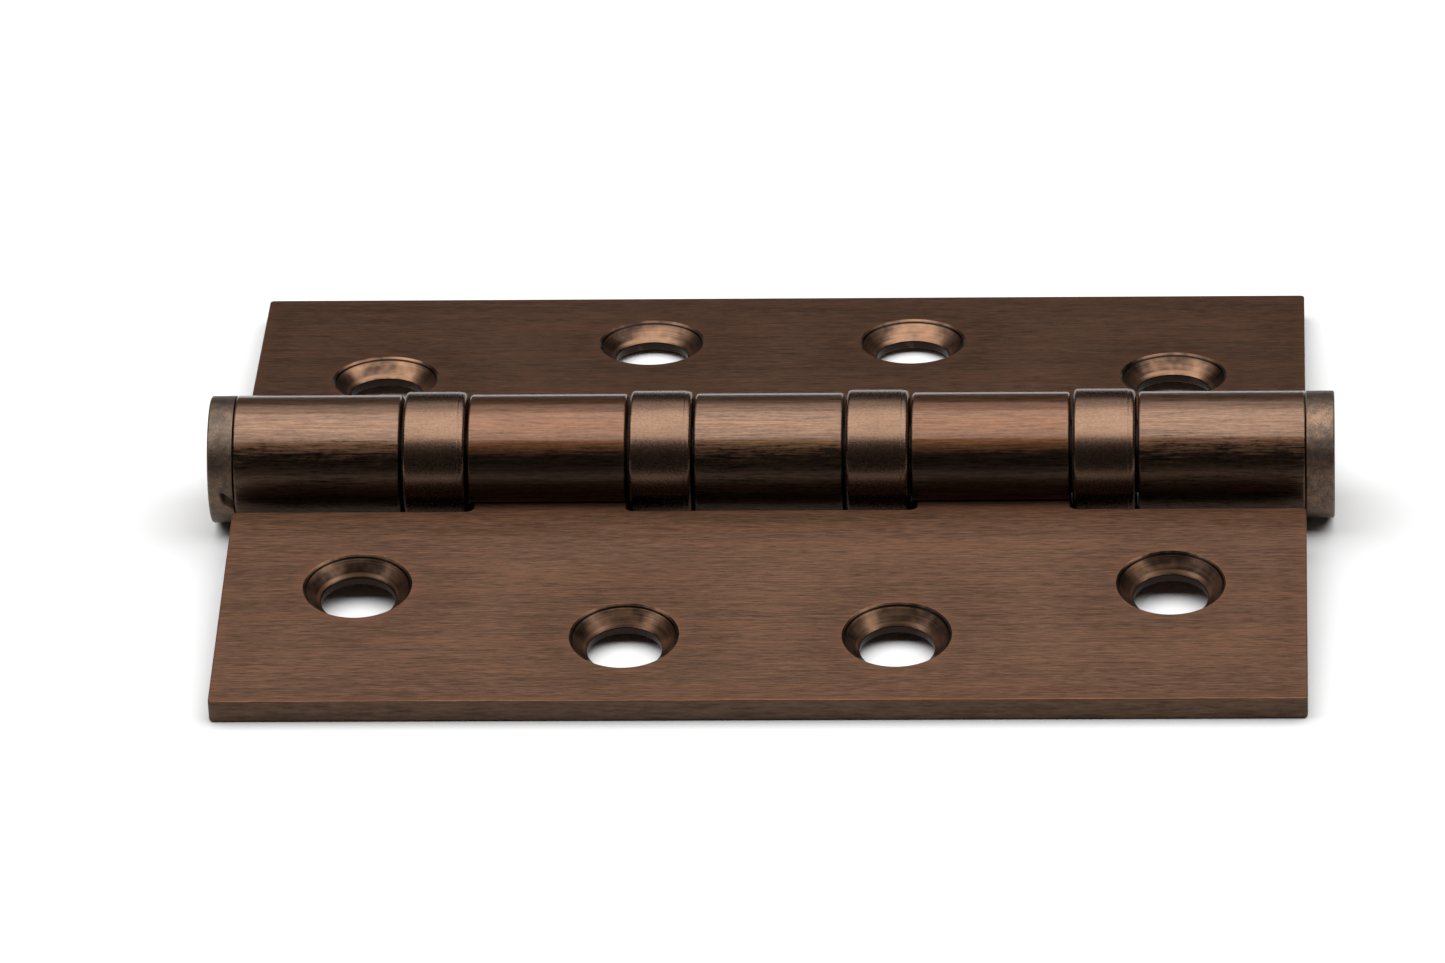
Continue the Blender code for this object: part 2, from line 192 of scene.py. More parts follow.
def rounded(corners, steps=6):
    """Rounds a closed outline, given as rows of (a, b, radius), and gives its points and normals.

    At each corner an arc that is tangent to both sides leaves the incoming side at the radius
    times the tangent of half the turn before the corner. Along the arc the direction turns
    evenly, and the normal is the direction turned a quarter to the outside.
    """
    corners = np.asarray(corners, float)
    spot, radius = corners[:, :2], corners[:, 2]
    into = spot - np.roll(spot, 1, axis=0)
    into /= np.linalg.norm(into, axis=1, keepdims=True)
    out = np.roll(into, -1, axis=0)
    turn = np.arctan2(
        into[:, 0] * out[:, 1] - into[:, 1] * out[:, 0],
        np.sum(into * out, axis=1),
    )
    side = np.sign(turn)[:, None] * np.stack([-into[:, 1], into[:, 0]], axis=1)
    start = spot - into * (radius * np.tan(np.abs(turn) / 2))[:, None]
    angle = np.abs(turn)[:, None] * np.linspace(0, 1, steps + 1)
    sine, cosine = np.sin(angle)[..., None], np.cos(angle)[..., None]
    arcs = start[:, None] + radius[:, None, None] * (
        sine * into[:, None] + (1 - cosine) * side[:, None]
    )
    heading = cosine * into[:, None] + sine * side[:, None]
    outward = np.sign(turn.sum())
    normals = outward * np.stack([heading[..., 1], -heading[..., 0]], axis=-1)
    return arcs.reshape(-1, 2), normals.reshape(-1, 2)


def divided(points, normals, longest):
    """Divides every side of a closed outline that is longer than the given length evenly."""
    ends = np.roll(points, -1, axis=0)
    length = np.linalg.norm(ends - points, axis=1)
    parts = np.maximum(1, np.ceil(length / longest)).astype(int)
    which = np.repeat(np.arange(len(points)), parts)
    first = np.repeat(np.cumsum(parts) - parts, parts)
    share = ((np.arange(parts.sum()) - first) / parts[which])[:, None]
    spots = points[which] + share * (ends - points)[which]
    facing = normals[which] + share * (np.roll(normals, -1, axis=0) - normals)[which]
    return spots, facing / np.linalg.norm(facing, axis=1, keepdims=True)


def edge_section(thickness, top, bottom, steps=EDGE_STEPS):
    """The cut edge of a sheet, from its face down to its back, with an arc at each corner.

    Rows of (inset from the edge, height from mid-sheet, outward and upward parts of the normal).
    """
    angle = np.linspace(0, np.pi / 2, steps + 1)
    outward, upward = np.sin(angle), np.cos(angle)
    half = thickness / 2
    face = np.stack(
        [top * (1 - outward), half - top * (1 - upward), outward, upward], axis=1
    )
    back = np.stack(
        [bottom * (1 - upward), bottom * (1 - outward) - half, upward, -outward], axis=1
    )
    return np.concatenate([face, back])


def countersunk_section(thickness, wide, narrow, lip=0.05 * MM, steps=3):
    """A 90 degree countersink, as rows like those of edge_section, inset from the hole's wall."""
    half = thickness / 2
    deep = wide - narrow
    corners = [
        (narrow - wide - 3 * lip, half, 0),
        (narrow - wide, half, lip),
        (0, half - deep, 3 * lip),
        (0, -half, 3 * lip),
        (narrow - wide - 3 * lip, -half, 0),
    ]
    points, normals = rounded(corners, steps)
    kept = slice(steps + 1, 4 * (steps + 1))
    return np.column_stack([-points[kept, 0], points[kept, 1], normals[kept]])


def swept(outline, facing, section):
    """Carries a section round an outline: point = outline - inset x facing, lifted by height.

    Gives the points and normals as (section row, outline point, 3) arrays.
    """
    inset, height, outward, upward = (column[:, None, None] for column in section.T)
    flat = outline[None] - inset * facing[None]
    lift = np.broadcast_to(height, (*flat.shape[:2], 1))
    tilt = np.broadcast_to(upward, (*flat.shape[:2], 1))
    points = np.concatenate([flat, lift], axis=2)
    normals = np.concatenate([outward * facing[None], tilt], axis=2)
    return points, normals


def grid_faces(rows, columns, first=0, ring=False):
    """The quads of a grid whose columns wrap round. With ring, its rows wrap round too."""
    row = np.arange(rows if ring else rows - 1)[:, None]
    column = np.arange(columns)[None]
    right = (column + 1) % columns
    below = (row + 1) % rows
    corners = (
        row * columns + column,
        below * columns + column,
        below * columns + right,
        row * columns + right,
    )
    return first + np.stack(np.broadcast_arrays(*corners), axis=-1).reshape(-1, 4)


def filled(outer, holes, inner):
    """Triangles that fill a flat outline round its holes through the given inner points.

    Each argument is an array of points, or a list of such arrays. The triangles count through
    the outline's points, each hole's and the inner ones, and face up.
    """
    loops = [outer, *holes]
    firsts = np.cumsum([0] + [len(loop) for loop in loops])
    edges = [
        np.stack([np.arange(len(loop)), np.roll(np.arange(len(loop)), -1)], axis=1) + first
        for loop, first in zip(loops, firsts)
    ]
    spots = np.concatenate([*loops, inner])
    scale = 1 / MM
    found = delaunay_2d_cdt(
        [Vector(spot) for spot in spots * scale], np.concatenate(edges).tolist(), [], 1, 1e-6
    )
    triangles = np.array(found[2])
    middle = spots[triangles].mean(axis=1)
    keep = np.ones(len(triangles), bool)
    for hole in holes:
        centre = hole.mean(axis=0)
        radius = np.linalg.norm(hole - centre, axis=1).max()
        inside = np.linalg.norm(middle - centre, axis=1) < radius
        keep &= ~inside
    return triangles[keep]


def stamped(outline, holes, section, hole_section, inner, zone):
    """A closed sheet with holes, as points, normals, faces and each face's material.

    The outline and each hole are (points, outward normals) pairs. A section is swept round each,
    and their first and last rows bound the face and the back, which are filled with triangles.
    The face's broken edge is painted as the face is.
    zone gives the material's index for the face and back, the edge and the holes.
    """
    points, normals, faces, paints, tops, bottoms = [], [], [], [], [], []
    count = 0
    for number, (spots, facing) in enumerate([outline, *holes]):
        rows, slopes = swept(spots, facing, hole_section if number else section)
        quads = grid_faces(len(rows), len(spots), count)
        points.append(rows.reshape(-1, 3))
        normals.append(slopes.reshape(-1, 3))
        faces += quads.tolist()
        broken = 0 if number else EDGE_STEPS * len(spots)
        paints += [zone[0]] * broken + [zone[2] if number else zone[1]] * (len(quads) - broken)
        tops.append(count + np.arange(len(spots)))
        bottoms.append(count + (len(rows) - 1) * len(spots) + np.arange(len(spots)))
        count += rows.shape[0] * rows.shape[1]
    placed = np.concatenate(points)
    for rims, up in ((tops, 1), (bottoms, -1)):
        height = placed[rims[0][0], 2]
        loops = [placed[rim, :2] for rim in rims]
        triangles = filled(loops[0], loops[1:], inner)
        index = np.concatenate([*rims, count + np.arange(len(inner))])
        faces += index[triangles][:, ::up].tolist()
        paints += [zone[0]] * len(triangles)
        points.append(np.column_stack([inner, np.full(len(inner), height)]))
        normals.append(np.tile([0.0, 0.0, up], (len(inner), 1)))
        count += len(inner)
    return np.concatenate(points), np.concatenate(normals), faces, np.array(paints)


def solid(name, points, faces, materials, normals=None, paints=None):
    """A smooth-shaded mesh object at the origin. Given normals are kept as they are."""
    mesh = bpy.data.meshes.new(name)
    mesh.from_pydata(points.tolist(), [], faces)
    body = bmesh.new()
    body.from_mesh(mesh)
    if body.calc_volume(signed=True) < 0:
        mesh.flip_normals()
    body.free()
    mesh.shade_smooth()
    for material in materials:
        mesh.materials.append(material)
    if paints is not None:
        mesh.polygons.foreach_set("material_index", paints)
    if normals is not None:
        mesh.normals_split_custom_set_from_vertices(normals.tolist())
    made = bpy.data.objects.new(name, mesh)
    bpy.context.scene.collection.objects.link(made)
    return made


BODY_OF = {
    node: body for body, nodes in frame["record"]["behaviour"]["bodies"].items() for node in nodes
}


def fitted(node, slot, *parts, **more):
    """Makes the solid that stands for a CAD node and moves with its body."""
    piece = solid(node + "_finished", *parts, **more)
    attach(piece, BODY_OF[node])
    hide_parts(node)


# The strip from the outer edge to the rolled end: the length and turn of each stretch.
rise = MIDLINE_RADIUS * np.cos(BEND_ANGLE) - FACE_DROP - LEAF_THICKNESS / 2
straight = (rise - BEND_RADIUS * (1 - np.cos(BEND_ANGLE))) / np.sin(BEND_ANGLE)
bend_reach = (MIDLINE_RADIUS + BEND_RADIUS) * np.sin(BEND_ANGLE) + straight * np.cos(BEND_ANGLE)
seam_angle = np.arcsin((FACE_DROP + SEAM_SHARE * SEAM_DIP) / KNUCKLE_RADIUS)
roll_turn = 1.5 * np.pi + BEND_ANGLE + seam_angle
STRETCHES = (
    (LEAF_WIDTH - bend_reach, 0.0),
    (BEND_RADIUS * BEND_ANGLE, BEND_ANGLE),
    (straight, 0.0),
    (MIDLINE_RADIUS * roll_turn, -roll_turn),
)
STRIP_LENGTH = sum(length for length, _ in STRETCHES)
ROLL_START = STRIP_LENGTH - STRETCHES[3][0]
NOTCH_START = LEAF_WIDTH - NOTCH_DEPTH


def bent(points, normals):
    """Bends a flat blank, whose rows are (x, distance along the strip, height), into a leaf.

    The strip is followed stretch by stretch. A stretch that turns by an angle moves its far end
    along a chord, of its length times sine(half the turn) over half the turn, in the direction
    midway through the turn. Heights then stand on the strip's upward normal.
    """
    along, height = points[:, 1], points[:, 2]
    dip_length = bend_reach - KNUCKLE_RADIUS + DIP_EASE
    dip_on = np.clip((along - NOTCH_START) / dip_length, 0, 1)
    dip_off = np.clip((along - ROLL_START) / MIDLINE_RADIUS, 0, 1)
    eased = dip_on**2 * (3 - 2 * dip_on) - dip_off**2 * (3 - 2 * dip_off)
    upper = np.clip(height / (LEAF_THICKNESS / 2), 0, 1)
    height = height - SEAM_DIP * eased * upper
    across = np.full(len(points), LEAF_WIDTH)
    level = np.full(len(points), -FACE_DROP - LEAF_THICKNESS / 2)
    heading = np.zeros(len(points))
    begun = 0.0
    for length, turn in STRETCHES:
        part = np.clip(along - begun, 0, length)
        turned = turn * part / length
        chord = part * np.sinc(turned / 2 / np.pi)
        across -= chord * np.cos(heading + turned / 2)
        level -= chord * np.sin(heading + turned / 2)
        heading += turned
        begun += length
    sine, cosine = np.sin(heading), np.cos(heading)
    place = np.stack([points[:, 0], across - height * sine, level + height * cosine], axis=1)
    slope = np.stack(
        [
            normals[:, 0],
            -normals[:, 1] * cosine - normals[:, 2] * sine,
            -normals[:, 1] * sine + normals[:, 2] * cosine,
        ],
        axis=1,
    )
    return place, slope


def drooped(vectors, side):
    """Tips the +Y leaf's vectors down by the droop about X, and mirrors them for the -Y leaf."""
    x, y, z = vectors.T
    tipped = y * np.cos(DROOP) + z * np.sin(DROOP)
    return np.stack([x, side * tipped, z * np.cos(DROOP) - y * np.sin(DROOP)], axis=1)


BEARINGS = 4
RIM_GAP = 0.28 * MM
NOSE_GAP = 0.2 * MM
knuckle_ends = [-HALF_LENGTH]
for number in range(1, BEARINGS + 1):
    rim, nose = (corner.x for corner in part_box(f"bearing_{number}_sleeve"))
    knuckle_ends += [rim - RIM_GAP, nose + NOSE_GAP]
knuckle_ends.append(HALF_LENGTH)

CORNER = 0.4 * MM
NOTCH_CORNER = 0.7 * MM
NECK_CUT = 0.55 * MM  # the punch bites this far under the -X end of a free-standing knuckle
NECK_LENGTH = 3.2 * MM
TAB_MARGIN = 0.6 * MM
TAB_PITCH = 1.5 * MM  # between the points of a tab, along the pin
BEND_PITCH = 0.3 * MM  # and along the strip, where it bends
HOLE_STEPS = 96
HOLE_PITCH = 25.4 * MM
HOLE_RADIUS = 3.5 * MM
COUNTERSINK_RADIUS = 5.13 * MM
OUTER_ROW = 10.3 * MM
INNER_ROW = 18.4 * MM
HOLES = [
    (-1.5 * HOLE_PITCH, INNER_ROW),
    (-0.5 * HOLE_PITCH, OUTER_ROW),
    (0.5 * HOLE_PITCH, OUTER_ROW),
    (1.5 * HOLE_PITCH, INNER_ROW),
]


def tab_corners(start, end, low, high):
    """A tab's outline from its root on the +X side to its root on the -X side."""
    corners = []
    if end < high:
        corners.append((end, NOTCH_START, NOTCH_CORNER))
    corners += [(end, STRIP_LENGTH, CORNER), (start, STRIP_LENGTH, CORNER)]
    if start > low:
        neck_end = NOTCH_START + NECK_LENGTH
        corners += [
            (start, neck_end + NECK_CUT, CORNER),
            (start + NECK_CUT, neck_end, CORNER),
            (start + NECK_CUT, NOTCH_START, NOTCH_CORNER),
        ]
    return corners


def blank_outline(knuckles):
    """The blank's rounded outline, counter-clockwise from its outer -X corner."""
    low, high = -HALF_LENGTH, HALF_LENGTH
    corners = [(low, 0, CORNER), (high, 0, CORNER)]
    if knuckles[-1][1] < high:
        corners.append((high, NOTCH_START, CORNER))
    for start, end in reversed(knuckles):
        corners += tab_corners(start, end, low, high)
    if knuckles[0][0] > low:
        corners.append((low, NOTCH_START, CORNER))
    return divided(*rounded(corners), EDGE_PITCH)


def tab_points(knuckles):
    """A grid of points over the tabs, close enough along the strip to bend smoothly."""
    along = np.arange(NOTCH_START - TAB_MARGIN, STRIP_LENGTH - TAB_MARGIN, BEND_PITCH)
    grids = []
    for start, end in knuckles:
        across = np.arange(start + NECK_CUT + TAB_MARGIN, end - TAB_MARGIN, TAB_PITCH)
        grids.append(np.stack(np.meshgrid(across, along), axis=-1).reshape(-1, 2))
    return np.concatenate(grids)


def hole_rings():
    """Each screw hole's circle and the normals that point into the hole, clockwise."""
    angle = -np.linspace(0, 2 * np.pi, HOLE_STEPS, endpoint=False)
    circle = np.stack([np.cos(angle), np.sin(angle)], axis=1)
    return [(np.array(centre) + HOLE_RADIUS * circle, -circle) for centre in HOLES]


BRONZE = (0.196, 0.104, 0.063)
PATINA = (0.072, 0.036, 0.020)
COPPER = (0.190, 0.078, 0.040)
# Painted shade: this black darkens the barrel's and the sleeves' lower sides and a ring inside each countersink's
# rim, and the bronze after it is the knuckles' shaded copy of their metal.
SHADE_BLACK = (0.012, 0.008, 0.006)
SHADED_BRONZE = (0.085, 0.052, 0.034)
CUT_DARK, CUT_LIGHT = (0.045, 0.027, 0.018), (0.130, 0.081, 0.055)
TURNED_DARK, TURNED_LIGHT = (0.020, 0.013, 0.010), (0.290, 0.160, 0.096)
FRAME_DARK, FRAME_LIGHT = (0.070, 0.033, 0.016), (0.205, 0.109, 0.062)
DOOR_DARK, DOOR_LIGHT = (0.070, 0.027, 0.010), (0.180, 0.080, 0.038)


def brush_lines(place, width, length):
    """Noise drawn out along X into lines, in the given width and length in millimetres."""
    along, across = 1000 / length, 1000 / width
    return place.stretched(along, across, across).noise(4.0, 0.68)


def wear_and_shade_distance(place):
    """How far a place on a leaf's flat is from its nearest edge, hole or knuckle."""
    x, y, z = place.parts()
    across = abs(y) * np.cos(DROOP) + (PIN_HEIGHT - z) * np.sin(DROOP)
    distance = (LEAF_WIDTH - across).least(HALF_LENGTH - abs(x)).least(across - NOTCH_DEPTH)
    for centre, row in ((1.5 * HOLE_PITCH, INNER_ROW), (0.5 * HOLE_PITCH, OUTER_ROW)):
        aside = abs(x) - centre
        away = across - (LEAF_WIDTH - row)
        distance = distance.least((aside * aside + away * away).root() - COUNTERSINK_RADIUS)
    return distance


def leaf_face(place):
    """Brushed plating: fine bright and dark lines, redder where the brush ran off an edge,
    and darkened towards its edges, holes and knuckles with painted shade.
    """
    fine = brush_lines(place, 0.10, 1.6)
    coarse = brush_lines(place, 0.20, 6.0)
    broad = brush_lines(place, 1.4, 30.0)
    cloud = place.stretched(50, 90, 90).noise(2.0)
    light = (fine - 0.5) * 3.0 + (coarse - 0.5) * 1.5 + (broad - 0.5) * 0.6 + (cloud - 0.5) * 0.3
    distance = wear_and_shade_distance(place)
    blend = distance.ramp(0.0, 1.5 * MM, 1.0, 0.0) * coarse.ramp(0.25, 0.65)
    # Painted shade: the flat darkens within 9 mm of its edges, holes and knuckles.
    light = light - distance.ramp(0.0, 9 * MM, 0.22, 0.0)
    colour = (light + 0.5).clamped().mixed(PATINA, BRONZE)
    red = (blend * 0.5).most((broad * fine).ramp(0.20, 0.40) * 0.4)
    colour = red.mixed(colour, COPPER)
    return colour, 0.42 + fine * 0.12, fine * 0.7 + coarse * 0.3, 0.010 * MM, 0.15


def leaf_edge(place):
    """The cut edge: dull and dark, with scores that run along it."""
    scores = place.stretched(520, 520, 3600).noise(4.0, 0.65)
    cloud = place.stretched(160, 160, 700).noise(3.0)
    colour = (scores * 0.8 + cloud * 0.2).ramp(0.2, 0.8).mixed(CUT_DARK, CUT_LIGHT)
    return colour, 0.46 + scores * 0.12, scores, 0.012 * MM, 0.0


def knuckle_face(dark_metal, light_metal, soft, harsh, lift):
    """The paint of rolled knuckles, streaked along the pin.

    The top of the barrel is painted as lit metal, in the given colours. Below it the barrel is
    painted near black as shade, behind a border whose unevenness is soft, and has less lacquer.
    In the painted shade, harsh is the streaks' contrast and lift its tone.
    """

    def paint(place):
        fine = brush_lines(place, 0.11, 2.6)
        coarse = brush_lines(place, 0.34, 9.0)
        grain = place.stretched(1500, 4500, 4500).noise(3.0, 0.7)
        streak = (fine - 0.5) * 2.4 + (coarse - 0.5) * 1.3 + (grain - 0.5) * 1.1
        tall = (place.parts()[2] - PIN_HEIGHT) / KNUCKLE_RADIUS
        # This mask marks the barrel's top, painted as lit metal; below it the barrel is painted near black as
        # shade, with less lacquer.
        lit_top = (tall + streak * soft).ramp(0.52, 0.62)
        colour = (streak + 0.5).clamped().mixed(dark_metal, light_metal)
        # The painted shade of the lower barrel: near black with bronze streaks.
        shaded_lower = (streak * harsh + lift).clamped().mixed(SHADE_BLACK, SHADED_BRONZE)
        colour = lit_top.mixed(shaded_lower, colour)
        relief = fine * 0.5 + coarse * 0.2 + grain * 0.3
        roughness = 0.27 + fine * 0.12 + lit_top * 0.06
        return colour, roughness, relief, 0.012 * MM, 0.06 + lit_top * 0.52

    return paint


def countersink_face(place):
    """Countersinks are turned, so their marks are rings of dark and brighter bronze. A black ring
    inside the rim is painted shade, a bright ring near the hole a painted highlight, and the
    hole's wall is darkened with painted shade.
    """
    x, y, z = place.parts()
    across = abs(y) * np.cos(DROOP) + (PIN_HEIGHT - z) * np.sin(DROOP)
    inner = abs(x).ramp(HOLE_PITCH, 1.001 * HOLE_PITCH)
    aside = abs(x) - (HOLE_PITCH / 2 + inner * HOLE_PITCH)
    away = across - (LEAF_WIDTH - OUTER_ROW) + inner * (INNER_ROW - OUTER_ROW)
    radius = (aside * aside + away * away).root()
    ring = place.node("CombineXYZ", {}, {"X": radius * 14000, "Y": x * 60, "Z": z * 60})
    turned = ring.noise(3.0, 0.6)
    cloud = place.stretched(240, 240, 240).noise(3.0, 0.6)
    # Painted shade: a black ring just inside the rim.
    rim_shade = abs(radius - (COUNTERSINK_RADIUS - 0.25 * MM)).ramp(0.03 * MM, 0.12 * MM, 1.0, 0.0)
    # Painted highlight: a bright ring near the hole.
    edge_glint = abs(radius - (HOLE_RADIUS + 0.25 * MM)).ramp(0.05 * MM, 0.22 * MM, 1.0, 0.0)
    # Painted shade: the hole's wall is darkened.
    wall = radius.ramp(HOLE_RADIUS, HOLE_RADIUS + 0.05 * MM, 1.0, 0.0)
    # Wear in the turned bronze, plus the painted highlight, less the painted shade on the wall.
    blend = (turned * 0.2 + cloud * 0.8).ramp(0.34, 0.72).most(edge_glint * 0.6) - wall * 0.8
    colour = blend.clamped().mixed(TURNED_DARK, TURNED_LIGHT)
    colour = rim_shade.mixed(colour, SHADE_BLACK)
    return colour, 0.24 + turned * 0.16, turned - rim_shade, 0.007 * MM, 0.05


brushed_face = plated("brushed_leaf_face", leaf_face, 0.3)
cut_edge = plated("cut_leaf_edge", leaf_edge)
countersink = plated("turned_countersink", countersink_face)
frame_knuckle = knuckle_face(FRAME_DARK, FRAME_LIGHT, soft=0.34, harsh=1.6, lift=0.85)
door_knuckle = knuckle_face(DOOR_DARK, DOOR_LIGHT, soft=0.09, harsh=0.8, lift=0.66)
FACE, EDGE, COUNTERSINK, KNUCKLE = range(4)


def leaf(node, side, knuckles, knuckle_paint):
    """One leaf on the side of Y that side's sign gives, with its knuckles as (start, end)."""
    points, normals, faces, paints = stamped(
        blank_outline(knuckles),
        hole_rings(),
        edge_section(LEAF_THICKNESS, FACE_EDGE, BACK_EDGE),
        countersunk_section(LEAF_THICKNESS, COUNTERSINK_RADIUS, HOLE_RADIUS),
        tab_points(knuckles),
        (FACE, EDGE, COUNTERSINK),
    )
    middles = np.array([points[list(face), 1].mean() for face in faces])
    paints[middles > NOTCH_START + PAINT_LINE] = KNUCKLE
    points, normals = bent(points, normals)
    points, normals = drooped(points, side), drooped(normals, side)
    points[:, 2] += PIN_HEIGHT
    rolled = plated(f"rolled_knuckle_of_{node}", knuckle_paint, 0.12)
    materials = [brushed_face, cut_edge, countersink, rolled]
    fitted(node, "leaf_finish", points, faces, materials, normals, paints)


knuckle_spans = list(zip(knuckle_ends[::2], knuckle_ends[1::2]))
leaf("frame_leaf", 1, knuckle_spans[::2], frame_knuckle)
leaf("door_leaf", -1, knuckle_spans[1::2], door_knuckle)

# ---------------------------------------------------------------------------------------------
# The pin, a plain steel rod with rounded ends, which fills the knuckles' bore. It is ground, then
# blackened and greased, so little of it shines in the gaps between the knuckles.

PIN_RADIUS = 3.55 * MM
PIN_END = 0.5 * MM
PIN_DARK, PIN_LIGHT = (0.035, 0.033, 0.031), (0.065, 0.061, 0.058)


def turned(corners, steps=160, arc_steps=6, longest=1.0):
    """Turns an outline of (x, radius, rounding) corners about the pin's axis.

    A point at angle a is (x, radius sine a, radius cosine a). An outline that starts and ends on
    the axis is closed there with a fan at each end, and any other is closed on itself.
    """
    profile, slopes = divided(*rounded(corners, arc_steps), longest)
    on_axis = profile[:, 1] < 1e-9
    poles = profile[on_axis][[0, -1], 0] if on_axis.any() else []
    profile, slopes = profile[~on_axis], slopes[~on_axis]
    angle = np.linspace(0, 2 * np.pi, steps, endpoint=False)
    around = np.stack([np.ones(steps), np.sin(angle), np.cos(angle)], axis=1)
    points = (profile[:, None, [0, 1, 1]] * around).reshape(-1, 3)
    normals = (slopes[:, None, [0, 1, 1]] * around).reshape(-1, 3)
    faces = grid_faces(len(profile), steps, ring=not len(poles)).tolist()
    column = np.arange(steps)
    after = (column + 1) % steps
    for pole, row, sign in zip(poles, (0, len(profile) - 1), (1, -1)):
        hub = np.full(steps, len(points))
        fan = np.stack([hub, row * steps + column, row * steps + after], axis=1)
        faces += fan[:, ::sign].tolist()
        points = np.concatenate([points, [[pole, 0, 0]]])
        normals = np.concatenate([normals, [[slopes[row, 0], 0, 0]]])
    return points + [0, 0, PIN_HEIGHT], normals, faces


def blackened_steel(place):
    """Blackened steel: hair-thin rings round the pin, nearly even in colour."""
    rings = place.stretched(9000, 300, 300).noise(2.0)
    colour = rings.mixed(PIN_DARK, PIN_LIGHT)
    return colour, 0.42 + rings * 0.12, rings, 0.002 * MM, 0.0


steel = plated("blackened_steel", blackened_steel)
pin_start, pin_end = (corner.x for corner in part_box("hinge_pin"))
points, normals, faces = turned(
    [
        (pin_start, 0, 0),
        (pin_start, PIN_RADIUS, PIN_END),
        (pin_end, PIN_RADIUS, PIN_END),
        (pin_end, 0, 0),
    ]
)
fitted("hinge_pin", "pin_steel", points, faces, [steel], normals)

# ---------------------------------------------------------------------------------------------
# The end caps: thick flat discs, as wide as the barrel, each on a spigot that is pressed into
# its end. They are cast and tumbled, so the plating is mottled. The left one has a pry notch.

CAP_RADIUS = 6.03 * MM
CAP_OUTER_EDGE = 0.22 * MM
CAP_INNER_EDGE = 0.04 * MM
CAP_GAP = 0.03 * MM
LEFT_CAP_SETBACK = 0.3 * MM  # the left cap's disc is this much thinner
SPIGOT_RADIUS = 3.5 * MM
SPIGOT_END = 0.4 * MM
SPIGOT_ROOT = 0.1 * MM
PRY_REACH = 1.15 * MM  # the notch's length along the pin
PRY_LEVEL = 1.06 * MM  # how far under the pin's axis its lip starts
PRY_SLOPE = 0.83
PRY_FALL = 1.3 * MM
PRY_DEPTH = 0.5 * MM
PRY_LIP = 0.08 * MM
PRY_END = 0.3 * MM
CAST_PATINA, CAST_BRONZE = (0.080, 0.061, 0.048), (0.128, 0.094, 0.073)
CAST_COPPER = (0.280, 0.165, 0.100)


def cast_face(place):
    """Mottled plating: dark patina with crumbs of copper on the high spots, over a cast skin."""
    crumbs = place.stretched(10000, 10000, 10000).noise(3.0, 0.7)
    blots = place.stretched(1300, 1300, 1300).noise(3.0, 0.6)
    patches = place.stretched(260, 260, 260).noise(2.0)
    bright = (crumbs * 0.75 + blots * 0.25 + (patches - 0.5) * 0.3).ramp(0.48, 0.64)
    colour = blots.ramp(0.3, 0.7).mixed(CAST_PATINA, CAST_BRONZE)
    colour = (bright * 0.75).mixed(colour, CAST_COPPER)
    return colour, 0.34 + crumbs * 0.2, crumbs * 0.5 + blots * 0.5, 0.04 * MM, 0.0


def scooped(points, inner):
    """Sinks the pry notch: a scoop that falls from a sharp upper lip at the cap's inner edge.

    The lip is a straight line that starts at the inner edge and rises by the slope times the
    distance out from it. Below the lip the scoop's depth falls away evenly.
    """
    offset = points - [inner, 0, PIN_HEIGHT]
    radius = np.linalg.norm(offset[:, 1:], axis=1)
    outward = np.abs(offset[:, 0])
    down = -offset[:, 2] - PRY_LEVEL + PRY_SLOPE * outward
    front = (offset[:, 1] < 0) & (radius > SPIGOT_RADIUS + MM)
    below = np.clip(down / PRY_LIP, 0, 1)
    fade = np.clip(1 - down / PRY_FALL, 0, 1)
    reach = np.clip((PRY_REACH - outward) / PRY_END, 0, 1)
    depth = PRY_DEPTH * front * below * fade * reach
    return points + depth[:, None] * np.array([0, 1, 0])


cast = plated("cast_cap", cast_face)
for node, direction in (("end_cap_left", -1), ("end_cap_right", 1)):
    low, high = (corner.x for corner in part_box(node))
    tip, outer = (high, low + LEFT_CAP_SETBACK) if direction < 0 else (low, high)
    inner = direction * (HALF_LENGTH + CAP_GAP)
    points, normals, faces = turned(
        [
            (tip, 0, 0),
            (tip, SPIGOT_RADIUS, SPIGOT_END),
            (inner, SPIGOT_RADIUS, SPIGOT_ROOT),
            (inner, CAP_RADIUS, CAP_INNER_EDGE),
            (outer, CAP_RADIUS, CAP_OUTER_EDGE),
            (outer, 0, 0),
        ],
        steps=360,
        longest=0.14 * MM,
    )
    if direction < 0:
        points = scooped(points, inner)
        normals = None  # Blender works them out again, since the scoop has turned them
    fitted(node, "cap_finish", points, faces, [cast], normals)

# ---------------------------------------------------------------------------------------------
# The four thrust bearings. Each has a drawn cup whose rounded nose faces +X, a grooved race
# seated in it, one that runs on the next knuckle, and eight balls in a brass cage between them.

SLEEVE_RADIUS = PIN_HEIGHT  # since the hinge lies on its sleeves
SLEEVE_WALL = 0.5 * MM
SLEEVE_NOSE = 0.55 * MM
SLEEVE_SHOULDER = 0.78 * MM  # from the nose to a faint step that the die leaves
SLEEVE_STEP = 0.1 * MM
SLEEVE_RIM = 0.42 * MM
SLEEVE_INNER_RIM = 0.06 * MM
SLEEVE_FLOOR = 0.25 * MM
SLEEVE_BORE_EDGE = 0.1 * MM
RACE_INNER_RADIUS = 3.75 * MM
RACE_OUTER_RADIUS = 5.68 * MM
RACE_BACK_EDGE = 0.15 * MM
RACE_FACE_EDGE = 0.03 * MM
RACE_SPACING = 1.1 * MM
GROOVE_RADIUS = 0.84 * MM
BALLS = 8
BALL_RADIUS = 0.8 * MM
BALL_CIRCLE = 4.9 * MM
BALL_RINGS, BALL_SECTORS = 15, 24
SLEEVE_DARK, SLEEVE_LIGHT = (0.118, 0.070, 0.046), (0.205, 0.125, 0.084)
